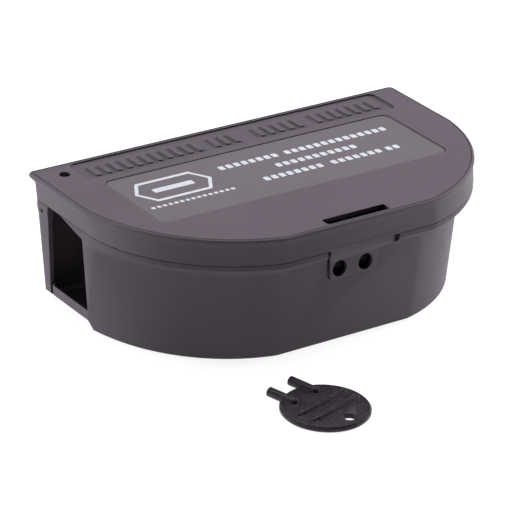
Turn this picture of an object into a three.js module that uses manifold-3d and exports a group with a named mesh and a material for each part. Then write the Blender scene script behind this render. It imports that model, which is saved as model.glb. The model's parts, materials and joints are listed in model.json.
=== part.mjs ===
// A wall-side bait station: a half-moon box with an entrance in each end, a lid hinged along the
// straight back, two sprung catches behind the lid's front tab, bait rods in a lift-out tray, and
// the two-pronged key that opens it, lying on the ground in front.
//
// Millimetres, +Z up. The origin is the middle of the underside. The long straight back faces +Y
// and the flat front facet with the latch faces -Y.

import * as THREE from 'three';
import { mergeVertices } from 'three/addons/utils/BufferGeometryUtils.js';
import Module from 'manifold-3d';

const wasm = await Module();
wasm.setup();

// ---------------------------------------------------------------- driving dimensions

const HEIGHT = 71;              // underside to the lid's flat top
const SEAM_Z = 57.4;            // joint between lid and base
const GAP = 0.3;                // room between pieces that touch
const BEYOND = 1;               // how far a cut runs on past what it cuts
const FRONT_FAR = -75;          // cuts through the front wall run between these
const FRONT_NEAR = -52;
const END_FAR = 125;            // cuts through an end wall run between these
const END_NEAR = 96;
const ARC_X = 22.6;             // centre of each big plan arc, either side of the middle
const ARC_Y = 25.9;
const BIG_ARC_STEPS = 26;
const CORNER_STEPS = 4;

// Plan outlines: half length, straight back, flat front, arc radius, how far the arc is eased in
// (or out, when negative) by the time it meets the end, and back corner radius.
const LIP = { end: 115, back: 64.9, front: -65.8, radius: 94.2, ease: 0.8, corner: 3 };
const SKIRT_TOP = { end: 113.6, back: 62.6, front: -65.2, radius: 93.7, ease: 1.4, corner: 5 };
const RIM = { end: 112.4, back: 62.6, front: -65.8, radius: 94.5, ease: 3.2, corner: 5 };
const WALL_TOP = { end: 111.5, back: 62.2, front: -58.6, radius: 86.9, ease: -3.7, corner: 5 };
const FOOT = { end: 106.6, back: 60, front: -56, radius: 83.8, ease: -0.6, corner: 3 };
const EASE_SHARE = 0.45;        // share of each arc over which it eases

const WALL = 2.6;
const FLOOR = 2.4;
const COLLAR = { low: 48.2, high: 54.8, steps: 6 };  // the wall turns out to the rim between these
const BOTTOM_EDGE = { inset: 2.2, z: 1.6 };
const UNDERCUT = { x: 107.2, z: 5.8, reach: 7.1, front: 17.5, ramp: 5.5 };  // under each end wall
const DIMPLE = { y: 54.5, z: 52.6, r: 1.1, x: 111.5 };  // small blind hole in each end wall
const SEAM_STEP = 0.1;          // the base is this much smaller than the lid at the seam
const INNER_CORNER = 1.5;       // chamfer inside, between floor and walls
const RIM_HEIGHT = 2;           // locating rim inside the lid's skirt
const RIM_WALL = 1.2;
const RIM_ROOM = 0.4;           // between that rim and the skirt
const RIM_ROOT = 4;             // how far the rim runs down inside the base

const LID_TOP = 2.6;
const SKIRT = 2.2;
const SKIRT_TOP_Z = 66.8;       // the lid's skirt turns out into the lip here

// Each entrance is open at the top as far forward as bend, where the lid's skirt closes it.
const ENTRANCE = { front: 16.3, backLow: 52.4, backHigh: 48.3, sill: 11.5, brow: 52.6, bend: 37.2 };
const SILL_BEVEL = 3.5;         // the sill falls away inwards behind its outer edge
const JAMB_GROOVE = 1.5;        // groove below the rear end of each sill
const JAMB_WIDTH = 2.2;
const HINGE_Y = 62.9;
const HINGE_Z = 57.5;
const BARREL_R = 2.6;
const BARREL_ROOM = 0.4;
const PIN_R = 1.2;
const PIN_BORE_R = 1.38;
const HINGE_X = 62;             // middle of each hinge
const LID_KNUCKLE = 12;
const BASE_KNUCKLE = 9;
const WEB_DROP = 9;             // how far the web under each base barrel runs down the wall
const ARM_RISE = 5;             // how far the arm over each lid barrel runs up into the lid

// The lid's latch tab: half widths at the seam, how far each side is drawn in where the wall stops
// turning out and at the foot, and the front of its lower part.
const TAB = { left: 18.4, right: 19.6, waist: 4.5, taper: 4.8, front: -59.6 };
const TAB_FOOT_Z = 37.8;
const TAB_RISE = 1.5;           // how far its root runs up inside the skirt
const TAB_WALL = 2.2;
const TAB_ROUND = 2.5;
const TAB_ROOM = { left: 2, right: 0.3, below: 0.3 };  // opening in the base around the tab
const NOTCH = { from: 1.2, to: 4.5, low: 52.3 };  // in the base's rim, off the tab's right side
const KEY_HOLE_R = 4.4;
const KEY_HOLE_X = 8;           // the two key holes sit this far from the middle
const KEY_HOLE_Z = 43.2;

const CATCH_Y = -52.4;          // middle of each catch's upright
const CATCH_WALL = 1.6;
const CATCH_WIDTH = 11;
const CATCH_FOOT_Z = 14;
const CATCH_TOP_Z = 50;
const CATCH_FLARE = 0.8;        // the foot is thicker than the tongue by this on each side
const CATCH_FLARE_RISE = 2;
const NOSE = { front: -56.4, r: 4, back: 2.2 };  // round nose, slanting back above and below
const LEDGE = { x: 17, back: 2.4 };  // the catches stand on it

const BAFFLE_Y = 8;
const BAFFLE_WALL = 2;
const BAFFLE_END_X = 33;
const BAFFLE_TURN = 18;         // its free end turns back by this
const BAFFLE_TOP_Z = 65.5;
const RAIL = { wide: 2, inner: 94, top: 48 };  // ribs that hold a baffle's outer edge

const TRAY = { x: 48, front: -49, back: 3, round: 9, wall: 1.8, top: 15 };
const BOSS = { r: 4.5, height: 6 };  // round each rod's foot
const ROD_X = 25;
const ROD_Y = -22;
const ROD_R = 1.5;
const EYE = { r: 3.6, wire: 1.3, above: 1 };  // ring at each rod's top
const BLOCK = { side: 28, height: 17, hole: 3, round: 4 };

const KEY = { x: -53, y: -113.4, turn: 15, radius: 22.5, thick: 3, edge: 0.8 };
const PRONG = { r: 2.5, reach: 6.3, root: 9, spacing: 16 };
const KEY_RIB = { places: [3, -5.5], r: 2, sunk: 0.6, short: 5, stud: 1.1 };
const RING_HOLE = { y: -15, r: 3.2, dish: 1.2, deep: 0.6 };

// ---------------------------------------------------------------- materials

function material(colour, roughness, metalness = 0) {
  return new THREE.MeshStandardMaterial({ color: colour, roughness, metalness });
}

const lidPlastic = material(0x625b61, 0.55);
const basePlastic = material(0x5a5359, 0.55);
const labelPlastic = material(0x70686f, 0.5);
const keyPlastic = material(0x39343a, 0.5);
const innerPlastic = material(0x3c373b, 0.6);
const steel = material(0xa9abad, 0.35, 1);
const baitWax = material(0x2f6fa8, 0.6);

// ---------------------------------------------------------------- solids

// A manifold solid from a closed three.js geometry.
function solid(geometry) {
  const bare = geometry.index ? geometry.toNonIndexed() : geometry.clone();
  bare.deleteAttribute('normal');
  bare.deleteAttribute('uv');
  const merged = mergeVertices(bare, 1e-4);
  return new wasm.Manifold(new wasm.Mesh({
    numProp: 3,
    vertProperties: new Float32Array(merged.attributes.position.array),
    triVerts: new Uint32Array(merged.index.array),
  }));
}

// A named mesh from a manifold solid.
function part(name, manifold, look) {
  const { vertProperties, triVerts } = manifold.getMesh();
  const geometry = new THREE.BufferGeometry();
  geometry.setAttribute('position', new THREE.BufferAttribute(vertProperties, 3));
  geometry.setIndex(new THREE.BufferAttribute(triVerts, 1));
  geometry.computeVertexNormals();
  const mesh = new THREE.Mesh(geometry, look);
  mesh.name = name;
  return mesh;
}

// A box between two corners.
function box([x0, y0, z0], [x1, y1, z1]) {
  const geometry = new THREE.BoxGeometry(x1 - x0, y1 - y0, z1 - z0);
  geometry.translate((x0 + x1) / 2, (y0 + y1) / 2, (z0 + z1) / 2);
  return solid(geometry);
}

// A round bar along X, Y or Z, from one end coordinate to the other.
function bar(axis, radius, from, to, centre, sides = 24) {
  const geometry = new THREE.CylinderGeometry(radius, radius, to - from, sides);
  if (axis === 'x') geometry.rotateZ(-Math.PI / 2);
  if (axis === 'z') geometry.rotateX(Math.PI / 2);
  const middle = { x: centre.x ?? 0, y: centre.y ?? 0, z: centre.z ?? 0 };
  middle[axis] = (from + to) / 2;
  geometry.translate(middle.x, middle.y, middle.z);
  return solid(geometry);
}

// A flat shape pushed up from one height to another.
function prism(shape, z0, z1, curveSegments = 8) {
  const geometry = new THREE.ExtrudeGeometry(shape, { depth: z1 - z0, bevelEnabled: false, curveSegments });
  geometry.translate(0, 0, z0);
  return solid(geometry);
}

// A shape drawn in X and Z, as seen from the front, pushed back from y0 to y1.
function frontPrism(shape, y0, y1, curveSegments = 8) {
  const geometry = new THREE.ExtrudeGeometry(shape, { depth: y1 - y0, bevelEnabled: false, curveSegments });
  geometry.rotateX(Math.PI / 2);
  geometry.translate(0, y1, 0);
  return solid(geometry);
}

// A shape drawn in Y and Z, as seen from the end, pushed along X from x0 to x1.
function sidePrism(shape, x0, x1, curveSegments = 8) {
  const geometry = new THREE.ExtrudeGeometry(shape, { depth: x1 - x0, bevelEnabled: false, curveSegments });
  geometry.rotateX(Math.PI / 2);
  geometry.rotateZ(Math.PI / 2);
  geometry.translate(x0, 0, 0);
  return solid(geometry);
}

function polygon(points) {
  return new THREE.Shape(points.map(([u, v]) => new THREE.Vector2(u, v)));
}

// A rectangle with round corners.
function roundedRectangle(x0, y0, x1, y1, r) {
  const shape = new THREE.Shape();
  shape.moveTo(x0 + r, y0);
  shape.lineTo(x1 - r, y0);
  shape.absarc(x1 - r, y0 + r, r, -Math.PI / 2, 0, false);
  shape.lineTo(x1, y1 - r);
  shape.absarc(x1 - r, y1 - r, r, 0, Math.PI / 2, false);
  shape.lineTo(x0 + r, y1);
  shape.absarc(x0 + r, y1 - r, r, Math.PI / 2, Math.PI, false);
  shape.lineTo(x0, y0 + r);
  shape.absarc(x0 + r, y0 + r, r, Math.PI, 1.5 * Math.PI, false);
  return shape;
}

// The same solid on the other side of the middle plane.
function mirrored(manifold) {
  return manifold.mirror([1, 0, 0]);
}

function bothSides(manifold) {
  return manifold.add(mirrored(manifold));
}

// ---------------------------------------------------------------- the half-moon plan

function arc(x, y, radius, from, to, steps) {
  return new THREE.EllipseCurve(x, y, radius, radius, from, to, false).getPoints(steps);
}

// Points of the plan outline, anticlockwise from the left end's front corner, drawn in by inset.
function planOutline(plan, inset = 0) {
  const end = plan.end - inset;
  const back = plan.back - inset;
  const front = plan.front + inset;
  const radius = plan.radius - inset;
  const corner = Math.max(plan.corner - inset, 1);
  const atEnd = Math.acos((end - ARC_X) / (radius - plan.ease));
  const atFront = Math.asin((ARC_Y - front) / radius);
  const right = [];
  for (let step = 0; step <= BIG_ARC_STEPS; step++) {
    const share = step / BIG_ARC_STEPS;
    const angle = THREE.MathUtils.lerp(-atFront, -atEnd, share);
    const nearEnd = Math.max(1 - (1 - share) / EASE_SHARE, 0);
    const reach = radius - plan.ease * nearEnd ** 2;
    right.push(new THREE.Vector2(ARC_X + reach * Math.cos(angle), ARC_Y + reach * Math.sin(angle)));
  }
  const left = right.map(({ x, y }) => new THREE.Vector2(-x, y)).reverse();
  return [
    ...left,
    ...right,
    ...arc(end - corner, back - corner, corner, 0, Math.PI / 2, CORNER_STEPS),
    ...arc(corner - end, back - corner, corner, Math.PI / 2, Math.PI, CORNER_STEPS),
  ];
}

// A plan part of the way from one outline to another.
function between(low, high, share) {
  const plan = {};
  for (const key of Object.keys(low)) {
    plan[key] = THREE.MathUtils.lerp(low[key], high[key], share);
  }
  return plan;
}

// The outer wall of the base at a height: sloping, then turning out to the rim.
function wallPlan(z) {
  if (z <= COLLAR.low) return between(FOOT, WALL_TOP, z / COLLAR.low);
  return between(WALL_TOP, RIM, THREE.MathUtils.smoothstep(z, COLLAR.low, COLLAR.high));
}

// A closed solid through a stack of outlines that have the same number of points.
function loft(levels) {
  const count = levels[0].outline.length;
  const positions = [];
  for (const { z, outline } of levels) {
    for (const point of outline) positions.push(point.x, point.y, z);
  }
  const index = [];
  for (let level = 0; level < levels.length - 1; level++) {
    for (let i = 0; i < count; i++) {
      const a = level * count + i;
      const b = level * count + (i + 1) % count;
      index.push(a, b, b + count, a, b + count, a + count);
    }
  }
  const top = (levels.length - 1) * count;
  for (const [a, b, c] of THREE.ShapeUtils.triangulateShape(levels[0].outline, [])) {
    index.push(a, c, b);
  }
  for (const [a, b, c] of THREE.ShapeUtils.triangulateShape(levels.at(-1).outline, [])) {
    index.push(top + a, top + b, top + c);
  }
  const geometry = new THREE.BufferGeometry();
  geometry.setAttribute('position', new THREE.Float32BufferAttribute(positions, 3));
  geometry.setIndex(index);
  return solid(geometry);
}

function level(z, plan, inset = 0) {
  return { z, outline: planOutline(plan, inset) };
}

// ---------------------------------------------------------------- base

// The tub's outside: nearly upright walls that turn out to a collar along the front.
function tubOutside() {
  const { inset, z: edgeZ } = BOTTOM_EDGE;
  const levels = [level(0, wallPlan(0), inset), level(edgeZ, wallPlan(edgeZ))];
  for (let step = 0; step <= COLLAR.steps; step++) {
    const z = THREE.MathUtils.lerp(COLLAR.low, COLLAR.high, step / COLLAR.steps);
    levels.push(level(z, wallPlan(z)));
  }
  levels.push(level(SEAM_Z - GAP / 2, RIM, SEAM_STEP));
  return loft(levels);
}

// The room inside the tub's walls, drawn in from them by inset.
function tubInside(inset, floor) {
  const cornerZ = floor + INNER_CORNER;
  return loft([
    level(floor, wallPlan(floor), inset + INNER_CORNER),
    level(cornerZ, wallPlan(cornerZ), inset),
    level(COLLAR.low, WALL_TOP, inset),
    level(COLLAR.high, RIM, inset + RIM_WALL + GAP),
    level(SEAM_Z + RIM_HEIGHT, RIM, inset + RIM_WALL),
  ]);
}

function locatingRim() {
  const outer = SKIRT + RIM_ROOM;
  const inner = outer + RIM_WALL;
  const low = SEAM_Z - RIM_ROOT;
  const high = SEAM_Z + RIM_HEIGHT;
  const ring = loft([level(low, RIM, outer), level(high, RIM, outer)]);
  return ring.subtract(loft([level(low - 1, RIM, inner), level(high + 1, RIM, inner)]));
}

// The left entrance, whose top edge falls towards the front.
function entranceCut() {
  const { front, backLow, backHigh, sill, brow, bend } = ENTRANCE;
  const above = SEAM_Z + RIM_HEIGHT + BEYOND;
  const shape = polygon([
    [front, sill], [backLow, sill], [backHigh, above], [bend, above], [bend, SEAM_Z], [front, brow],
  ]);
  return sidePrism(shape, -END_FAR, -END_NEAR).add(sillBevel());
}

// The inner half of the left sill, which falls away inwards.
function sillBevel() {
  const { front, backLow, sill } = ENTRANCE;
  const edge = -wallPlan(sill).end + GAP;
  const inner = edge + SILL_BEVEL;
  const shape = polygon([[edge, sill + GAP], [edge, sill], [inner, sill - SILL_BEVEL], [inner, sill + GAP]]);
  return frontPrism(shape, front, backLow - JAMB_WIDTH);
}

// The groove that runs down from the rear end of the left sill.
function jambGroove() {
  const { backLow, sill } = ENTRANCE;
  const cut = box([-END_FAR, backLow - JAMB_WIDTH, -BEYOND], [-END_NEAR, backLow, sill + BEYOND]);
  const core = loft([level(-2 * BEYOND, FOOT, JAMB_GROOVE), level(COLLAR.low, WALL_TOP, JAMB_GROOVE)]);
  return cut.subtract(core);
}

// The chamfer under the left end wall, whose front end ramps down to the foot.
function undercut() {
  const { x, z, reach, front, ramp } = UNDERCUT;
  const back = LIP.back + BEYOND;
  const chamfer = polygon([
    [-END_FAR, -BEYOND], [reach - x + BEYOND, -BEYOND], [reach - x, 0], [-x, z], [-END_FAR, z],
  ]);
  const length = polygon([
    [front - ramp, -BEYOND], [back, -BEYOND], [back, z + BEYOND], [front, z + BEYOND], [front - ramp, 0],
  ]);
  return frontPrism(chamfer, front - ramp, back).intersect(sidePrism(length, -END_FAR, -END_NEAR));
}

// A cylinder on the hinge axis, mirrored to both hinges.
function onHingeAxis(radius, from, to, sides = 24) {
  return bothSides(bar('x', radius, HINGE_X + from, HINGE_X + to, { y: HINGE_Y, z: HINGE_Z }, sides));
}

const knuckleStart = LID_KNUCKLE / 2 + BARREL_ROOM;
const knuckleEnd = knuckleStart + BASE_KNUCKLE;

function baseKnuckles(radius, room = 0) {
  const right = onHingeAxis(radius, knuckleStart - room, knuckleEnd + room);
  const left = onHingeAxis(radius, -knuckleEnd - room, -knuckleStart + room);
  return right.add(left);
}

function lidKnuckles(radius, room = 0) {
  return onHingeAxis(radius, -LID_KNUCKLE / 2 - room, LID_KNUCKLE / 2 + room);
}

function pinBores() {
  return onHingeAxis(PIN_BORE_R, -knuckleEnd - BEYOND, knuckleEnd + BEYOND, 16);
}

// A web under each base barrel, so that it grows out of the back wall.
function knuckleWebs() {
  const shape = polygon([
    [HINGE_Y - BARREL_R, HINGE_Z], [HINGE_Y + BARREL_R, HINGE_Z], [HINGE_Y + BARREL_R, HINGE_Z - 1],
    [RIM.back, HINGE_Z - WEB_DROP], [RIM.back - 1, HINGE_Z - WEB_DROP],
  ]);
  const right = sidePrism(shape, HINGE_X + knuckleStart, HINGE_X + knuckleEnd);
  const left = sidePrism(shape, HINGE_X - knuckleEnd, HINGE_X - knuckleStart);
  return bothSides(right.add(left));
}

// How far the wall has turned out at a height: 0 up to the collar's lower edge, 1 above it.
function turnedOut(z) {
  return THREE.MathUtils.smoothstep(z, COLLAR.low, COLLAR.high);
}

// Heights for the curved parts of the tab, from the foot up.
function tabHeights() {
  const heights = [];
  for (let step = 0; step <= COLLAR.steps; step++) {
    heights.push(THREE.MathUtils.lerp(COLLAR.low, COLLAR.high, step / COLLAR.steps));
  }
  return heights;
}

// The tab's front view, narrower towards its foot, with room to spare on each side and below. The
// room at the left closes towards the foot.
function tabOutline(top, { left, right, below }) {
  const foot = TAB_FOOT_Z - below;
  const bend = foot + TAB_ROUND;
  const drawnIn = (z) => {
    const lower = Math.min(z, COLLAR.low);
    const full = THREE.MathUtils.mapLinear(lower, TAB_FOOT_Z, COLLAR.low, TAB.taper, TAB.waist);
    return full * (1 - turnedOut(z));
  };
  const roomLeft = (z) => THREE.MathUtils.mapLinear(z, TAB_FOOT_Z, SEAM_Z, below, left);
  const leftX = (z) => drawnIn(z) - TAB.left - roomLeft(z);
  const rightX = (z) => TAB.right + right - drawnIn(z);
  const heights = [bend, ...tabHeights(), top];
  const shape = new THREE.Shape();
  shape.moveTo(rightX(top), top);
  for (const z of [...heights].reverse()) shape.lineTo(leftX(z), z);
  shape.quadraticCurveTo(leftX(foot), foot, leftX(foot) + TAB_ROUND, foot);
  shape.lineTo(rightX(foot) - TAB_ROUND, foot);
  shape.quadraticCurveTo(rightX(foot), foot, rightX(bend), bend);
  for (const z of heights.slice(1, -1)) shape.lineTo(rightX(z), z);
  return shape;
}

// The opening in the front wall that the lid's tab hangs in, with the notch at its right.
function tabWindow() {
  const top = SEAM_Z + RIM_HEIGHT + BEYOND;
  const window = frontPrism(tabOutline(top, TAB_ROOM), FRONT_FAR, FRONT_NEAR, 4);
  const from = TAB.right + NOTCH.from;
  const to = TAB.right + NOTCH.to;
  const notch = polygon([[from, NOTCH.low], [to, NOTCH.low], [to, top], [from, top]]);
  return window.add(frontPrism(notch, FRONT_FAR, WALL_TOP.front));
}

// The ledge inside the front wall that the two catches stand on.
function catchLedge() {
  return box([-LEDGE.x, RIM.front, 1], [LEDGE.x, CATCH_Y + LEDGE.back, CATCH_FOOT_Z - GAP]);
}

// Ribs that hold the upright edge of the left baffle against the end wall.
function baffleRails() {
  const rail = (y) => box([-END_FAR, y, 1], [-RAIL.inner, y + RAIL.wide, RAIL.top]);
  return rail(BAFFLE_Y - RAIL.wide - GAP).add(rail(BAFFLE_Y + BAFFLE_WALL + GAP));
}

// Small blind hole near the top of the rear strip of each end wall.
function endDimple() {
  return bar('x', DIMPLE.r, -END_FAR, -DIMPLE.x, DIMPLE, 12);
}

function baseTub() {
  const outside = tubOutside();
  const fittings = catchLedge().add(bothSides(baffleRails())).intersect(tubInside(WALL - 0.5, 0.5));
  const sideCuts = bothSides(entranceCut().add(jambGroove()).add(undercut()).add(endDimple()));
  return outside
    .subtract(tubInside(WALL, FLOOR))
    .add(locatingRim())
    .add(fittings)
    .subtract(sideCuts)
    .subtract(tabWindow())
    .subtract(lidKnuckles(BARREL_R + BARREL_ROOM, BARREL_ROOM))
    .add(knuckleWebs())
    .add(baseKnuckles(BARREL_R))
    .subtract(pinBores());
}

// ---------------------------------------------------------------- lid

// The bead round the lid's edge: heights below the top, and how far it is drawn in there.
const BEAD = [[2, 0.1], [1.3, 0], [0.7, 0.15], [0.25, 0.5], [0, 1.1]];
const LIP_RISE = 1.1;           // the skirt turns out into the lip over this height
const LID_CORNER = 1;           // chamfer inside, between the lid's top and its skirt

function lidOutside() {
  const bead = BEAD.map(([below, inset]) => level(HEIGHT - below, LIP, inset));
  return loft([
    level(SEAM_Z + GAP / 2, RIM),
    level(SKIRT_TOP_Z, SKIRT_TOP),
    level(SKIRT_TOP_Z + LIP_RISE, between(SKIRT_TOP, LIP, 0.4)),
    ...bead,
  ]);
}

function lidInside() {
  const ceiling = HEIGHT - LID_TOP;
  return loft([
    level(SEAM_Z - BEYOND, RIM, SKIRT),
    level(ceiling - LID_CORNER, SKIRT_TOP, SKIRT),
    level(ceiling, SKIRT_TOP, SKIRT + LID_CORNER),
  ]);
}

const EDGE_GROOVE = { deep: 0.25, outer: 1.6, inner: 2.1 };

// A fine groove that sets the bead round the lid's edge apart from its flat top.
function edgeGroove() {
  const { deep, outer, inner } = EDGE_GROOVE;
  const above = HEIGHT + BEYOND;
  const ring = loft([level(HEIGHT - deep, LIP, outer), level(above, LIP, outer)]);
  return ring.subtract(loft([level(HEIGHT - BEYOND, LIP, inner), level(above + BEYOND, LIP, inner)]));
}

const STRIP = { left: -93, right: 99.5, front: 38.5, back: 61.6, round: 4, depth: 0.8 };
const LABEL = { left: -89, right: 89, front: -20.8, back: 35, round: 5, depth: 1.1 };
const LABEL_SUNK = 0.3;         // the label's face lies this far below the lid's top
const SLOT = { left: -19, right: 19.6, front: -62.7, back: -56.6, round: 1.4 };  // behind the tab

function recess({ left, right, front, back, round, depth }) {
  return prism(roundedRectangle(left, front, right, back, round), HEIGHT - depth, HEIGHT + BEYOND, 4);
}

function latchSlot() {
  const { left, right, front, back, round } = SLOT;
  const low = HEIGHT - LID_TOP - LID_CORNER - BEYOND;
  return prism(roundedRectangle(left, front, right, back, round), low, HEIGHT + BEYOND, 3);
}

const CORD_HOLE = { x: -100.2, y: 52.4, r: 3 };

// The latch tab: hangs from the front of the skirt, turned in as the wall is, with two key holes.
function latchTab() {
  const top = SEAM_Z + TAB_RISE;
  const face = [TAB_FOOT_Z, ...tabHeights(), top].map((z) => [
    THREE.MathUtils.lerp(TAB.front, RIM.front, turnedOut(z)), z,
  ]);
  const inner = face.map(([y, z]) => [y + TAB_WALL, z]).reverse();
  const profile = sidePrism(polygon([...inner, ...face]), -TAB.left - BEYOND, TAB.right + BEYOND);
  const outline = tabOutline(top, { left: 0, right: 0, below: 0 });
  const keyHole = bar('y', KEY_HOLE_R, FRONT_FAR, FRONT_NEAR, { x: KEY_HOLE_X, z: KEY_HOLE_Z }, 32);
  return profile.intersect(frontPrism(outline, FRONT_FAR, FRONT_NEAR, 4)).subtract(bothSides(keyHole));
}

function lidShell() {
  const body = lidOutside()
    .subtract(lidInside())
    .subtract(baseKnuckles(BARREL_R + BARREL_ROOM, BARREL_ROOM));
  const knuckleArm = box([HINGE_X - LID_KNUCKLE / 2, HINGE_Y - BARREL_R, HINGE_Z], [
    HINGE_X + LID_KNUCKLE / 2, HINGE_Y + BARREL_R - 1, HINGE_Z + ARM_RISE]);
  return body
    .add(bothSides(knuckleArm))
    .add(lidKnuckles(BARREL_R))
    .add(latchTab())
    .subtract(pinBores())
    .subtract(edgeGroove())
    .subtract(recess(STRIP))
    .subtract(recess(LABEL))
    .subtract(latchSlot())
    .subtract(bar('z', CORD_HOLE.r, SKIRT_TOP_Z, HEIGHT + BEYOND, CORD_HOLE));
}

// The thin printed plate that lies in the lid's large recess.
function labelPlate() {
  const { left, right, front, back, round, depth } = LABEL;
  const shape = roundedRectangle(left + GAP, front + GAP, right - GAP, back - GAP, round - GAP);
  return prism(shape, HEIGHT - depth + GAP, HEIGHT - LABEL_SUNK, 4);
}

// ---------------------------------------------------------------- hinge pins and catches

function hingePin() {
  return bar('x', PIN_R, HINGE_X - knuckleEnd, HINGE_X + knuckleEnd, { y: HINGE_Y, z: HINGE_Z }, 16);
}

// One sprung catch: an upright tongue with a round nose behind its key hole.
function catchTongue() {
  const inner = CATCH_Y + CATCH_WALL / 2;
  const outer = CATCH_Y - CATCH_WALL / 2;
  const neckZ = CATCH_FOOT_Z + CATCH_FLARE_RISE;
  const profile = polygon([
    [inner + CATCH_FLARE, CATCH_FOOT_Z], [outer - CATCH_FLARE, CATCH_FOOT_Z], [outer, neckZ],
    [outer, CATCH_TOP_Z], [inner, CATCH_TOP_Z], [inner, neckZ],
  ]);
  const tongue = sidePrism(profile, KEY_HOLE_X - CATCH_WIDTH / 2, KEY_HOLE_X + CATCH_WIDTH / 2);
  const low = KEY_HOLE_Z - NOSE.r;
  const high = KEY_HOLE_Z + NOSE.r;
  const wedge = sidePrism(polygon([
    [NOSE.front, KEY_HOLE_Z], [NOSE.front + NOSE.back, low], [CATCH_Y, low], [CATCH_Y, high],
    [NOSE.front + NOSE.back, high],
  ]), KEY_HOLE_X - NOSE.r, KEY_HOLE_X + NOSE.r);
  const nose = bar('y', NOSE.r, FRONT_FAR, CATCH_Y, { x: KEY_HOLE_X, z: KEY_HOLE_Z });
  return tongue.add(nose.intersect(wedge));
}

// ---------------------------------------------------------------- inside

// The left baffle: a plate from the end wall inwards, turned back at its free end.
function baffle() {
  const outer = -RIM.end;
  const inner = BAFFLE_Y + BAFFLE_WALL;
  const end = -BAFFLE_END_X;
  const shape = polygon([
    [outer, BAFFLE_Y], [end, BAFFLE_Y], [end, BAFFLE_Y + BAFFLE_TURN],
    [end - BAFFLE_WALL, BAFFLE_Y + BAFFLE_TURN], [end - BAFFLE_WALL, inner], [outer, inner],
  ]);
  const room = loft([
    level(FLOOR + GAP, wallPlan(FLOOR), WALL + 2),
    level(FLOOR + GAP + 2, wallPlan(FLOOR + 2), WALL + 0.5),
    level(COLLAR.low, WALL_TOP, WALL + 0.5),
    level(SEAM_Z, RIM, WALL + 2.6),
    level(BAFFLE_TOP_Z, RIM, WALL + 2.6),
  ]);
  return prism(shape, 0, HEIGHT).intersect(room);
}

function baitTray() {
  const { x, front, back, round, wall, top } = TRAY;
  const floor = FLOOR + GAP;
  const outside = prism(roundedRectangle(-x, front, x, back, round), floor, top, 5);
  const inside = roundedRectangle(-x + wall, front + wall, x - wall, back - wall, round - wall);
  const place = { x: ROD_X, y: ROD_Y };
  const boss = bar('z', BOSS.r, floor + wall / 2, floor + BOSS.height, place, 20);
  const bore = bar('z', ROD_R + GAP, floor + wall, floor + BOSS.height + BEYOND, place, 16);
  return outside
    .subtract(prism(inside, floor + wall, top + BEYOND, 5))
    .add(bothSides(boss))
    .subtract(bothSides(bore));
}

const ROD_FOOT_Z = FLOOR + GAP + TRAY.wall + GAP;
const FIRST_BLOCK_Z = FLOOR + GAP + BOSS.height + GAP;

// A bait rod: a steel stem with an eye at the top to lift it by.
function baitRod() {
  const eyeZ = FIRST_BLOCK_Z + 2 * (BLOCK.height + GAP) + EYE.r + EYE.above;
  const stem = bar('z', ROD_R, ROD_FOOT_Z, eyeZ - EYE.r + EYE.wire / 2, { x: ROD_X, y: ROD_Y }, 16);
  const eye = new THREE.TorusGeometry(EYE.r, EYE.wire, 10, 24);
  eye.rotateX(Math.PI / 2);
  eye.translate(ROD_X, ROD_Y, eyeZ);
  return stem.add(solid(eye));
}

// A wax bait block with a hole for the rod.
function baitBlock(order) {
  const half = BLOCK.side / 2;
  const shape = roundedRectangle(ROD_X - half, ROD_Y - half, ROD_X + half, ROD_Y + half, BLOCK.round);
  const low = FIRST_BLOCK_Z + order * (BLOCK.height + GAP);
  const high = low + BLOCK.height;
  const hole = bar('z', BLOCK.hole, low - BEYOND, high + BEYOND, { x: ROD_X, y: ROD_Y }, 16);
  return prism(shape, low, high, 4).subtract(hole);
}

// ---------------------------------------------------------------- key

// A round-ended rib across the bow, with a small stud off its left end.
function keyRib(y) {
  const { r, sunk, short, stud } = KEY_RIB;
  const z = KEY.thick - sunk;
  const half = Math.sqrt(KEY.radius ** 2 - y ** 2) - short;
  const length = 2 * (half - r);
  const rib = new THREE.CapsuleGeometry(r, length, 4, 16);
  rib.rotateZ(Math.PI / 2);
  rib.translate(r, y, z);
  const end = new THREE.SphereGeometry(stud, 12, 8);
  end.translate(stud - half, y, KEY.thick);
  return solid(rib).add(solid(end));
}

// The ring hole, widened at the top.
function ringHole() {
  const { y, r, dish, deep } = RING_HOLE;
  const cone = new THREE.CylinderGeometry(r + 2 * dish, r, 2 * deep, 24);
  cone.rotateX(Math.PI / 2);
  cone.translate(0, y, KEY.thick);
  return bar('z', r, -BEYOND, KEY.thick + BEYOND, { y }).add(solid(cone));
}

// A prong, round where it ends on the bow.
function keyProng() {
  const place = { x: PRONG.spacing / 2, z: PRONG.r + GAP };
  const root = KEY.radius - PRONG.root;
  const end = new THREE.SphereGeometry(PRONG.r, 16, 12);
  end.translate(place.x, root, place.z);
  return bar('y', PRONG.r, root, KEY.radius + PRONG.reach, place, 16).add(solid(end));
}

// The key lies flat: a round bow with two ribs and a ring hole, and two prongs.
function keySolid() {
  const { radius, thick, edge } = KEY;
  const profile = [
    [0, 0], [radius - edge, 0], [radius, edge], [radius, thick - edge], [radius - edge, thick], [0, thick],
  ].map(([r, z]) => new THREE.Vector2(r, z));
  const bow = new THREE.LatheGeometry(profile, 48);
  bow.rotateX(Math.PI / 2);
  const [upperRib, lowerRib] = KEY_RIB.places.map(keyRib);
  return solid(bow).add(bothSides(keyProng())).add(upperRib).add(lowerRib).subtract(ringHole());
}

// ---------------------------------------------------------------- assembly

const station = new THREE.Group();
station.add(
  part('base_tub', baseTub(), basePlastic),
  part('hinge_pin_right', hingePin(), steel),
  part('hinge_pin_left', mirrored(hingePin()), steel),
  part('catch_right', catchTongue(), innerPlastic),
  part('catch_left', mirrored(catchTongue()), innerPlastic),
  part('baffle_left', baffle(), innerPlastic),
  part('baffle_right', mirrored(baffle()), innerPlastic),
);

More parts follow.
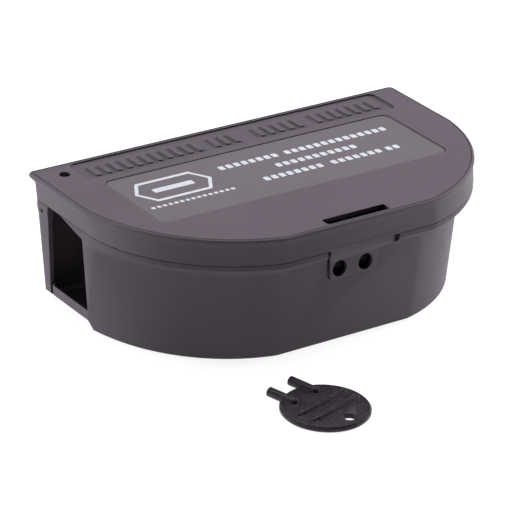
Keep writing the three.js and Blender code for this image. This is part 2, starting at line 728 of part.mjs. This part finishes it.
const lid = new THREE.Group();
lid.add(
  part('lid_shell', lidShell(), lidPlastic),
  part('label_plate', labelPlate(), labelPlastic),
);
station.add(lid);

const tray = new THREE.Group();
tray.add(
  part('bait_tray', baitTray(), innerPlastic),
  part('bait_rod_right', baitRod(), steel),
  part('bait_rod_left', mirrored(baitRod()), steel),
);
for (const [order, place] of ['lower', 'upper'].entries()) {
  tray.add(part(`bait_block_right_${place}`, baitBlock(order), baitWax));
  tray.add(part(`bait_block_left_${place}`, mirrored(baitBlock(order)), baitWax));
}
station.add(tray);

const key = part('key', keySolid(), keyPlastic);
key.position.set(KEY.x, KEY.y, 0);
key.rotation.z = THREE.MathUtils.degToRad(KEY.turn);
station.add(key);

export default station;
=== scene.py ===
"""Looks for the wall-side bait station: satin plastic, white print, bait, steel and soft studio light."""

import json
import math

import bmesh
import bpy
from mathutils import Matrix, Vector


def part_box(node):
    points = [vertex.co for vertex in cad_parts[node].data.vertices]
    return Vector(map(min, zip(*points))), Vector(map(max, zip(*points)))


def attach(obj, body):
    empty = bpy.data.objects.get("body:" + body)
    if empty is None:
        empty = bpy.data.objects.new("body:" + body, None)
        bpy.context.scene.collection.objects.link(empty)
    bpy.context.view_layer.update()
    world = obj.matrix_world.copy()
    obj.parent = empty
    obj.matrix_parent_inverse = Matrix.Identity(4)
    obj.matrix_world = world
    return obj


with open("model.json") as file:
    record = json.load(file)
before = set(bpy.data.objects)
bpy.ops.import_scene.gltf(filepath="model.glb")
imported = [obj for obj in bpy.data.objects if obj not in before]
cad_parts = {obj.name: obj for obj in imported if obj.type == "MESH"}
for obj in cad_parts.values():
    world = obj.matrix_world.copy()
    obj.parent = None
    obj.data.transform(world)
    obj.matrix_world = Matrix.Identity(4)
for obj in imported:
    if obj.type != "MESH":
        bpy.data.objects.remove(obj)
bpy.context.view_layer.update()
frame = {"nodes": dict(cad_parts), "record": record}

MM = 0.001

# ---------------------------------------------------------------- colours, linear

LID = (0.075, 0.062, 0.077)
BASE = (0.062, 0.050, 0.064)
LABEL = (0.0965, 0.0842, 0.0975)
KEY = (0.0150, 0.0115, 0.0155)
# Near-black plastic of the parts inside the box; part of its darkness is painted shade for the dark
# inside of the closed box.
INNER = (0.009, 0.008, 0.009)
STEEL = (0.62, 0.62, 0.63)
WAX = (0.035, 0.16, 0.38)
BAIT_GRAIN = (0.55, 0.50, 0.36)
INK = (0.41, 0.42, 0.46)
FLOOR = (0.20, 0.20, 0.20)
GLOW = (1, 1, 1)
SKY = (0.98, 0.98, 1.0)


def shade(colour, factor):
    """A colour made darker or paler by a factor."""
    return tuple(min(channel * factor, 1.0) for channel in colour)


# ---------------------------------------------------------------- material nodes

MOST = (0.3, 0.7)            # where most of a noise's values lie
RISING = (0, 1)
FALLING = (1, 0)
EDGE_LEAN = (1.0, 0.8)       # cosine of a rounded normal's lean, on an open face and at an edge
SPREAD_SOCKETS = ("From Min", "From Max", "To Min", "To Max")

# Which of the Mix node's sockets are its colours.
MIX_FIRST = 6
MIX_SECOND = 7
MIX_RESULT = 2


class Nodes:
    """A short way to add and join shader nodes."""

    def __init__(self, name):
        self.material = bpy.data.materials.new(name)
        self.material.use_nodes = True
        self.tree = self.material.node_tree
        self.shader = self.tree.nodes["Principled BSDF"]
        self.place = self.add("ShaderNodeTexCoord").outputs["Object"]

    def add(self, kind, **settings):
        """A new node, with its settings."""
        node = self.tree.nodes.new(kind)
        for key, value in settings.items():
            setattr(node, key, value)
        return node

    def join(self, source, socket):
        """Joins an output to an input."""
        self.tree.links.new(source, socket)

    def noise(self, scale, detail=3.0, roughness=0.55, stretch=None):
        """Noise with about scale features in a metre, stretched along an axis if asked."""
        node = self.add("ShaderNodeTexNoise")
        node.inputs["Scale"].default_value = scale
        node.inputs["Detail"].default_value = detail
        node.inputs["Roughness"].default_value = roughness
        place = self.place
        if stretch:
            mapping = self.add("ShaderNodeMapping")
            mapping.inputs["Scale"].default_value = stretch
            self.join(self.place, mapping.inputs["Vector"])
            place = mapping.outputs["Vector"]
        self.join(place, node.inputs["Vector"])
        return node.outputs["Fac"]

    def cells(self, scale):
        """How far a point is from the middle of its cell, with about scale cells in a metre."""
        node = self.add("ShaderNodeTexVoronoi")
        node.inputs["Scale"].default_value = scale
        self.join(self.place, node.inputs["Vector"])
        return node.outputs["Distance"]

    def spread(self, value, given, wanted):
        """A value turned from the range given into the range wanted, and held within it."""
        node = self.add("ShaderNodeMapRange", clamp=True)
        for socket, number in zip(SPREAD_SOCKETS, (*given, *wanted)):
            node.inputs[socket].default_value = number
        self.join(value, node.inputs["Value"])
        return node.outputs["Result"]

    def math(self, operation, first, second):
        """A sum or product of two, which are numbers or sockets."""
        node = self.add("ShaderNodeMath", operation=operation)
        for socket, value in zip(node.inputs, (first, second)):
            if isinstance(value, (int, float)):
                socket.default_value = value
            else:
                self.join(value, socket)
        return node.outputs[0]

    def mix(self, share, first, second):
        """A colour between two, which are colours or sockets."""
        node = self.add("ShaderNodeMix", data_type="RGBA")
        self.join(share, node.inputs["Factor"])
        for place, colour in ((MIX_FIRST, first), (MIX_SECOND, second)):
            if isinstance(colour, tuple):
                node.inputs[place].default_value = (*colour, 1)
            else:
                self.join(colour, node.inputs[place])
        return node.outputs[MIX_RESULT]

    def clouds(self, colour, factors, scale, detail=3.0):
        """A colour that drifts in clouds between two shades of itself, made by the factors."""
        darkest, palest = (shade(colour, factor) for factor in factors)
        return self.mix(self.spread(self.noise(scale, detail), MOST, RISING), darkest, palest)

    def rounding(self, radius):
        """The normal with edges rounded over a radius."""
        node = self.add("ShaderNodeBevel", samples=4)
        node.inputs["Radius"].default_value = radius
        return node.outputs["Normal"]

    def shelter(self, reach, own=True):
        """1 in the open, falling to 0 deep in holes and pockets, of the piece itself if own."""
        node = self.add("ShaderNodeAmbientOcclusion", samples=8, only_local=own)
        node.inputs["Distance"].default_value = reach
        return node.outputs["AO"]

    def edges(self, rounded):
        """0 on open faces, rising towards 1 near edges, from how far the rounded normal leans."""
        plain = self.add("ShaderNodeNewGeometry").outputs["Normal"]
        node = self.add("ShaderNodeVectorMath", operation="DOT_PRODUCT")
        self.join(plain, node.inputs[0])
        self.join(rounded, node.inputs[1])
        return self.spread(node.outputs["Value"], EDGE_LEAN, RISING)

    def bump(self, height, strength, distance, normal=None):
        """The normal tilted by a height map, on top of another normal if one is given."""
        node = self.add("ShaderNodeBump")
        node.inputs["Strength"].default_value = strength
        node.inputs["Distance"].default_value = distance
        self.join(height, node.inputs["Height"])
        if normal:
            self.join(normal, node.inputs["Normal"])
        return node.outputs["Normal"]

    def finish(self, colour, roughness, normal):
        """Joins the three to the shader, and gives the finished material."""
        self.join(colour, self.shader.inputs["Base Color"])
        self.join(roughness, self.shader.inputs["Roughness"])
        self.join(normal, self.shader.inputs["Normal"])
        return self.material


# ---------------------------------------------------------------- moulded plastic

# A RANGE is where a value begins and stops to count, and a SHARE is how strongly it then shows.
SATIN_LEVEL = 0.2            # specular level of the plastic
MOULD_EDGE = 0.5 * MM        # radius that the edges seem to have

# Features in a metre.
FLOW = 16
WAVES = 35
SCUFFS = 90
RUBBED_AND_HIGHLIT = 240
PORES = 600

GRAIN_HEIGHT = 0.04 * MM
PORE_SHARE = 0.5             # how deep pores are beside the grain
WAVE_BUMP = {"strength": 0.12, "distance": 0.3 * MM}

SPECK_RANGE = (0.42, 0.66)
# Paler edges in rubbed patches: partly wear, partly a painted highlight along the rounded edges.
RUBBED_AND_HIGHLIT_RANGE = (0.35, 0.65)
RUBBED_AND_HIGHLIT_SHARE = (0.25, 0.8)
SCUFF_RANGE = (0.35, 0.7)
SHINIER = 0.03               # how far scuffs take the roughness down
DULLER = 0.04                # how far they take it up

# Painted shade: plastic darkened, where shade falls, deep in its own pockets and in the thin gaps between
# pieces.
POCKET_SHADE_REACH = 45 * MM             # how far off a wall has to be for a surface to count as open
POCKET_SHADE_RANGE = (0.25, 0.68)
PAINTED_POCKET_SHADE = 0.03          # how much of its colour plastic keeps under the painted shade deep in pockets
GAP_SHADE_REACH = 4 * MM                 # the same for the thin gaps between pieces
GAP_SHADE_RANGE = (0.15, 0.42)
PAINTED_GAP_SHADE = 0.15


def painted_pocket_shade(n, tone, colour):
    """A tone darkened by painted shade in the piece's own pockets and in the gaps between pieces."""
    pocket_shade = n.spread(n.shelter(POCKET_SHADE_REACH), POCKET_SHADE_RANGE, FALLING)
    tone = n.mix(pocket_shade, tone, shade(colour, PAINTED_POCKET_SHADE))
    gap_shade = n.spread(n.shelter(GAP_SHADE_REACH, own=False), GAP_SHADE_RANGE, FALLING)
    return n.mix(gap_shade, tone, shade(colour, PAINTED_GAP_SHADE))


def moulded_plastic(name, colour, roughness, variation=0.06, grain=2600, depth=0.5, worn_and_highlit=1.35,
                    fleck=0.08, pockets=True):
    """Satin moulded plastic: flow clouds, fine grain, faint scuffs, edges paler by wear and painted
    highlight, painted shade in pockets and gaps.
    """
    n = Nodes(name)
    n.shader.inputs["Specular IOR Level"].default_value = SATIN_LEVEL
    speckle = n.noise(grain, detail=2)
    rounded = n.rounding(MOULD_EDGE)
    tone = n.clouds(colour, (1 - variation, 1 + variation), FLOW, detail=4)
    tone = n.mix(n.spread(speckle, SPECK_RANGE, RISING), tone, shade(colour, 1 + fleck))
    # Paler edges: partly worn plastic, partly a painted highlight on the rounded edges.
    rubbed_and_highlit = n.math("MULTIPLY", n.edges(rounded), n.spread(n.noise(RUBBED_AND_HIGHLIT), RUBBED_AND_HIGHLIT_RANGE, RUBBED_AND_HIGHLIT_SHARE))
    tone = n.mix(rubbed_and_highlit, tone, shade(colour, worn_and_highlit))
    # Painted shade in the pockets and gaps, where shade falls.
    if pockets:
        tone = painted_pocket_shade(n, tone, colour)
    scuffs = n.noise(SCUFFS, detail=5, roughness=0.7)
    gloss = n.spread(scuffs, SCUFF_RANGE, (roughness - SHINIER, roughness + DULLER))
    height = n.math("ADD", speckle, n.math("MULTIPLY", n.noise(PORES), PORE_SHARE))
    normal = n.bump(height, depth, GRAIN_HEIGHT, rounded)
    normal = n.bump(n.noise(WAVES, detail=1), normal=normal, **WAVE_BUMP)
    return n.finish(tone, gloss, normal)


# ---------------------------------------------------------------- print, steel and bait

INK_FLAWS = {"patches": 900, "film": 300, "grain": 1800}      # features in a metre
INK_PATCH_RANGE = (0.30, 0.42)
INK_PATCH_SHARE = (0.5, 0)
INK_ROUGHNESS = (0.42, 0.58)
INK_BUMP = {"strength": 0.3, "distance": 0.02 * MM}

STEEL_FLAWS = {"clouds": 180, "lines": 1500}
STEEL_SHADES = (0.8, 1.1)
DRAWN_OUT = (1, 1, 0.05)     # the lines run along z, as the rods do
STEEL_ROUGHNESS = (0.26, 0.42)
LINE_BUMP = {"strength": 0.3, "distance": 0.03 * MM}

WAX_FLAWS = {"clouds": 90, "grains": 420, "crumbs": 700, "film": 260}
WAX_SHADES = (0.7, 1.3)
WAX_GLOW = 0.15              # how much light goes through the wax
WAX_GLOW_DEPTH = 2 * MM
WAX_GRAIN_RANGE = (0.28, 0.1)
WAX_GRAIN_SHARE = (0, 0.55)
WAX_ROUGHNESS = (0.5, 0.75)
WAX_EDGE = 0.9 * MM
WAX_BUMP = {"strength": 0.6, "distance": 0.4 * MM}


def printed_ink(name, colour, under):
    """Screen-printed ink, a little patchy, so that the plastic under it shows at pinholes."""
    n = Nodes(name)
    patches = n.spread(n.noise(INK_FLAWS["patches"], detail=4), INK_PATCH_RANGE, INK_PATCH_SHARE)
    tone = n.mix(patches, colour, under)
    gloss = n.spread(n.noise(INK_FLAWS["film"]), MOST, INK_ROUGHNESS)
    return n.finish(tone, gloss, n.bump(n.noise(INK_FLAWS["grain"]), **INK_BUMP))


def plated_steel(name, colour):
    """Zinc plated wire: fine lengthwise drawing lines and cloudy plating."""
    n = Nodes(name)
    n.shader.inputs["Metallic"].default_value = 1.0
    tone = n.clouds(colour, STEEL_SHADES, STEEL_FLAWS["clouds"], detail=4)
    lines = n.noise(STEEL_FLAWS["lines"], stretch=DRAWN_OUT)
    gloss = n.spread(lines, MOST, STEEL_ROUGHNESS)
    return n.finish(tone, gloss, n.bump(lines, **LINE_BUMP))


def pressed_wax(name, colour):
    """A pressed bait block: waxy, crumbly, with pale grains in it."""
    n = Nodes(name)
    n.shader.inputs["Subsurface Weight"].default_value = WAX_GLOW
    n.shader.inputs["Subsurface Scale"].default_value = WAX_GLOW_DEPTH
    grains = n.cells(WAX_FLAWS["grains"])
    tone = n.clouds(colour, WAX_SHADES, WAX_FLAWS["clouds"], detail=5)
    tone = n.mix(n.spread(grains, WAX_GRAIN_RANGE, WAX_GRAIN_SHARE), tone, BAIT_GRAIN)
    gloss = n.spread(n.noise(WAX_FLAWS["film"]), MOST, WAX_ROUGHNESS)
    height = n.math("ADD", grains, n.noise(WAX_FLAWS["crumbs"]))
    return n.finish(tone, gloss, n.bump(height, normal=n.rounding(WAX_EDGE), **WAX_BUMP))


lid_plastic = moulded_plastic("lid_plastic_look", LID, roughness=0.62)
base_plastic = moulded_plastic("base_plastic_look", BASE, roughness=0.58)
label_plastic = moulded_plastic("label_plastic_look", LABEL, roughness=0.55, variation=0.04, depth=0.3)
# The key's rim is made much paler: wear and a painted highlight.
key_plastic = moulded_plastic("key_plastic_look", KEY, roughness=0.36, variation=0.25, grain=1100,
                              depth=1.0, worn_and_highlit=6.0, fleck=1.6, pockets=False)
inner_plastic = moulded_plastic("inner_plastic_look", INNER, roughness=0.5, variation=0.1)
steel = plated_steel("steel_look", STEEL)
wax = pressed_wax("bait_wax_look", WAX)
ink = printed_ink("ink_look", INK, LABEL)

SLOT_LOOKS = {
    "lid_plastic": lid_plastic,
    "base_plastic": base_plastic,
    "label_plastic": label_plastic,
    "key_plastic": key_plastic,
    "inner_plastic": inner_plastic,
    "steel": steel,
    "bait_wax": wax,
}

# ---------------------------------------------------------------- the CAD pieces

SAME_POINT = 0.01 * MM       # corners of the mesh this close are one
SHARP = math.radians(28)     # faces that meet at more than this keep a sharp edge


def dress(node, look):
    """Gives a CAD piece its material and smooth shading that keeps its corners sharp."""
    node.data.materials.clear()
    node.data.materials.append(look)
    for polygon in node.data.polygons:
        polygon.use_smooth = True
    weld = node.modifiers.new("weld", "WELD")
    weld.merge_threshold = SAME_POINT
    split = node.modifiers.new("corners", "EDGE_SPLIT")
    split.split_angle = SHARP


for subpart in frame["record"]["subparts"]:
    dress(frame["nodes"][subpart["node"]], SLOT_LOOKS[subpart["material_slot"]])

# ---------------------------------------------------------------- making new pieces


def add_mesh(name, bm, look):
    """A new object in the scene with the bmesh's shape, which is freed, and a material."""
    mesh = bpy.data.meshes.new(name)
    bm.to_mesh(mesh)
    bm.free()
    mesh.materials.append(look)
    new = bpy.data.objects.new(name, mesh)
    bpy.context.scene.collection.objects.link(new)
    return new


def piece(name, mesh_maker, look, body):
    """A new piece made by mesh_maker(bmesh), dressed and riding on a CAD body."""
    bm = bmesh.new()
    mesh_maker(bm)
    bmesh.ops.recalc_face_normals(bm, faces=bm.faces)
    new = add_mesh(name, bm, look)
    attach(new, body)


def tablet(bm, outline, low, high, slope):
    """A closed flat-topped block over an outline, its rim leaning in by slope at the top."""
    middle = sum(outline, Vector((0, 0))) / len(outline)
    levels = []
    for z, inset in ((low, 0), (high - slope / 2, 0), (high, slope)):
        level = []
        for point in outline:
            out = point - middle
            at = middle + out * (1 - inset / max(out.length, inset))
            level.append(bm.verts.new((at.x, at.y, z)))
        levels.append(level)
    count = len(outline)
    for lower, upper in zip(levels, levels[1:]):
        for i in range(count):
            j = (i + 1) % count
            bm.faces.new((lower[i], lower[j], upper[j], upper[i]))
    bm.faces.new(list(reversed(levels[0])))
    bm.faces.new(levels[-1])


def rounded_outline(x0, y0, x1, y1, radius, steps=3):
    """Points round a rectangle with round corners, anticlockwise."""
    corners = ((x1 - radius, y0 + radius, -90), (x1 - radius, y1 - radius, 0),
               (x0 + radius, y1 - radius, 90), (x0 + radius, y0 + radius, 180))
    points = []
    for x, y, start in corners:
        for step in range(steps + 1):
            angle = math.radians(start + 90 * step / steps)
            points.append(Vector((x + radius * math.cos(angle), y + radius * math.sin(angle))))
    return points


# ---------------------------------------------------------------- relief on the lid

STRIP_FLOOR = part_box("lid_shell")[1].z - 0.8 * MM
FOOT = 0.2 * MM              # how far a bar goes into the floor that it stands on
BAR = {"low": 43.6 * MM, "high": 55.0 * MM, "width": 3.2 * MM, "pitch": 6.2 * MM,
       "proud": 0.75 * MM, "corner": 0.8 * MM, "slope": 0.25 * MM}
BAR_GROUPS = ((-86, 11), (-13, 3), (15, 5), (52, 7))     # left end in mm, how many bars


def relief_bars(bm):
    """Groups of plain upright raised bars along the recessed strip at the back of the lid."""
    for left, count in BAR_GROUPS:
        for order in range(count):
            x = left * MM + order * BAR["pitch"]
            outline = rounded_outline(x, BAR["low"], x + BAR["width"], BAR["high"], BAR["corner"])
            tablet(bm, outline, STRIP_FLOOR - FOOT, STRIP_FLOOR + BAR["proud"], BAR["slope"])


piece("relief_bars", relief_bars, lid_plastic, "lid")

# ---------------------------------------------------------------- print on the label

LABEL_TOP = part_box("label_plate")[1].z
INK_LOW = LABEL_TOP - 0.05 * MM
INK_HIGH = LABEL_TOP + 0.06 * MM
INK_SLOPE = 0.03 * MM
DASH = {"length": 3.2 * MM, "pitch": 4.7 * MM, "height": 4.3 * MM, "corner": 0.7 * MM}
SMALL_DASH = {"length": 2.2 * MM, "pitch": 3.4 * MM, "height": 2.2 * MM, "corner": 0.5 * MM}
# Each row of dashes: middle in y, then the left end and number of dashes of each group, in mm.
PRINT_ROWS = ((20, ((-28, 8), (13, 14))), (9, ((0, 11),)), (-2, ((-15, 8), (27, 7), (62, 2))))
SMALL_ROW = (-3.4, (-84, 15))      # the same for the one row under the emblem


def ink_tablet(bm, outline):
    """A patch of ink over an outline."""
    tablet(bm, outline, INK_LOW, INK_HIGH, INK_SLOPE)


def dash_group(bm, y, left, count, dash):
    """Plain dashes side by side, with their middle in y and left end in millimetres."""
    low = y * MM - dash["height"] / 2
    for order in range(count):
        x = left * MM + order * dash["pitch"]
        ink_tablet(bm, rounded_outline(x, low, x + dash["length"], low + dash["height"], dash["corner"]))


def print_dashes(bm):
    """Three rows of plain white dashes on the label."""
    for y, groups in PRINT_ROWS:
        for group in groups:
            dash_group(bm, y, *group, DASH)


piece("print_dashes", print_dashes, ink, "lid")

EMBLEM = Vector((-60 * MM, 13.5 * MM))
EMBLEM_HALF = (23 * MM, 11.5 * MM)
EMBLEM_LINE = 2.2 * MM
EMBLEM_BAR_HALF = Vector((12 * MM, 2.2 * MM))
EMBLEM_BAR_CORNER = 0.8 * MM
POINT_LENGTH = 0.6           # how far each end point reaches out, as a share of the half height


def hexagon(centre, half_width, half_height):
    """A hexagon longer than it is high, with a point at each end."""
    flat = half_width - half_height * POINT_LENGTH
    corners = ((half_width, 0), (flat, half_height), (-flat, half_height),
               (-half_width, 0), (-flat, -half_height), (flat, -half_height))
    return [centre + Vector(corner) for corner in corners]


def ink_ring(bm, outer, inner):
    """A flat ring of ink between two outlines with the same number of points."""
    walls = [[bm.verts.new((p.x, p.y, z)) for p in line]
             for line in (outer, inner) for z in (INK_LOW, INK_HIGH)]
    outer_low, outer_high, inner_low, inner_high = walls
    count = len(outer)
    for i in range(count):
        j = (i + 1) % count
        bm.faces.new((outer_low[i], outer_low[j], outer_high[j], outer_high[i]))
        bm.faces.new((inner_low[j], inner_low[i], inner_high[i], inner_high[j]))
        bm.faces.new((outer_high[i], outer_high[j], inner_high[j], inner_high[i]))
        bm.faces.new((outer_low[j], outer_low[i], inner_low[i], inner_low[j]))


def print_emblem(bm):
    """A plain hexagonal ring round a plain bar, over a row of small dashes."""
    inner_half = [half - EMBLEM_LINE for half in EMBLEM_HALF]
    ink_ring(bm, hexagon(EMBLEM, *EMBLEM_HALF), hexagon(EMBLEM, *inner_half))
    low = EMBLEM - EMBLEM_BAR_HALF
    high = EMBLEM + EMBLEM_BAR_HALF
    ink_tablet(bm, rounded_outline(*low, *high, EMBLEM_BAR_CORNER))
    y, group = SMALL_ROW
    dash_group(bm, y, *group, SMALL_DASH)


piece("print_emblem", print_emblem, ink, "lid")

# ---------------------------------------------------------------- floor

FLOOR_HALF = 12.0            # half of its side, in metres
FLOOR_GLOW = 0.88
FLOOR_GAP = 0.05 * MM        # keeps it clear of the tub's underside
FLOOR_FLAWS = {"clouds": 3, "wipes": 5, "grain": 400}
FLOOR_SHADES = (0.99, 1)
FLOOR_ROUGHNESS = (0.9, 0.95)
FLOOR_BUMP = {"strength": 0.05, "distance": 0.1 * MM}


def pale_floor():
    """A wide pale floor with a glow of its own, as on a light table."""
    n = Nodes("floor_look")
    tone = n.clouds(FLOOR, FLOOR_SHADES, FLOOR_FLAWS["clouds"])
    n.shader.inputs["Emission Color"].default_value = (*GLOW, 1)
    n.shader.inputs["Emission Strength"].default_value = FLOOR_GLOW
    gloss = n.spread(n.noise(FLOOR_FLAWS["wipes"]), MOST, FLOOR_ROUGHNESS)
    n.finish(tone, gloss, n.bump(n.noise(FLOOR_FLAWS["grain"]), **FLOOR_BUMP))
    bm = bmesh.new()
    bmesh.ops.create_grid(bm, x_segments=4, y_segments=4, size=FLOOR_HALF)
    floor = add_mesh("floor", bm, n.material)
    floor.location.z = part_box("base_tub")[0].z - FLOOR_GAP


pale_floor()

# ---------------------------------------------------------------- light

SKY_STRENGTH = 0.06
STATION = Vector((0, 0, 0.04))     # what the lights are turned to


def dim_sky():
    """A faint even light from all round."""
    world = bpy.data.worlds.new("studio")
    world.use_nodes = True
    background = world.node_tree.nodes["Background"]
    background.inputs["Color"].default_value = (*SKY, 1)
    background.inputs["Strength"].default_value = SKY_STRENGTH
    bpy.context.scene.world = world


def softbox(name, place, size, power, gleam=True):
    """A soft light at a place, turned to the station, with or without a gleam of its own."""
    data = bpy.data.lights.new(name, "AREA")
    data.shape = "RECTANGLE"
    data.size, data.size_y = size
    data.energy = power
    light = bpy.data.objects.new(name, data)
    light.location = place
    light.visible_glossy = gleam
    light.rotation_euler = (STATION - Vector(place)).to_track_quat("-Z", "Y").to_euler()
    bpy.context.scene.collection.objects.link(light)


bpy.context.scene.view_settings.view_transform = "Standard"
bpy.context.scene.view_settings.look = "None"
dim_sky()
softbox("light_top", place=(0, 0.7, 2.2), size=(2.2, 2.2), power=50)
softbox("light_left", place=(-1.9, 2.3, 0.6), size=(1.6, 1.0), power=188, gleam=False)
softbox("light_right", place=(2.0, 0.2, 0.6), size=(1.6, 1.0), power=164, gleam=False)

# ---------------------------------------------------------------- camera

VIEW = {"azimuth": -35.662, "elevation": 25.61, "roll": 2.499}     # degrees
DISTANCE = 1659.462 * MM
SIDEWAYS = -14.527 * MM
UPWARDS = 22.575 * MM
LENS = 227.95                # millimetres, as the sensor
SENSOR = 36.0
SIGHT = 100                  # how far the camera sees, in metres


def add_camera():
    """A camera that looks at the origin from the view's angles, moved sideways and up."""
    azimuth, elevation, roll = (math.radians(VIEW[key]) for key in ("azimuth", "elevation", "roll"))
    back = Vector((math.sin(azimuth) * math.cos(elevation),
                   -math.cos(azimuth) * math.cos(elevation), math.sin(elevation)))
    level = Vector((math.cos(azimuth), math.sin(azimuth), 0))
    upright = back.cross(level)
    right = math.cos(roll) * level + math.sin(roll) * upright
    up = math.cos(roll) * upright - math.sin(roll) * level
    data = bpy.data.cameras.new("camera")
    data.lens = LENS
    data.sensor_width = SENSOR
    data.clip_end = SIGHT
    camera = bpy.data.objects.new("camera", data)
    turn = Matrix((right, up, back)).transposed().to_4x4()
    camera.matrix_world = Matrix.Translation(back * DISTANCE + right * SIDEWAYS + up * UPWARDS) @ turn
    bpy.context.scene.collection.objects.link(camera)
    bpy.context.scene.camera = camera


add_camera()
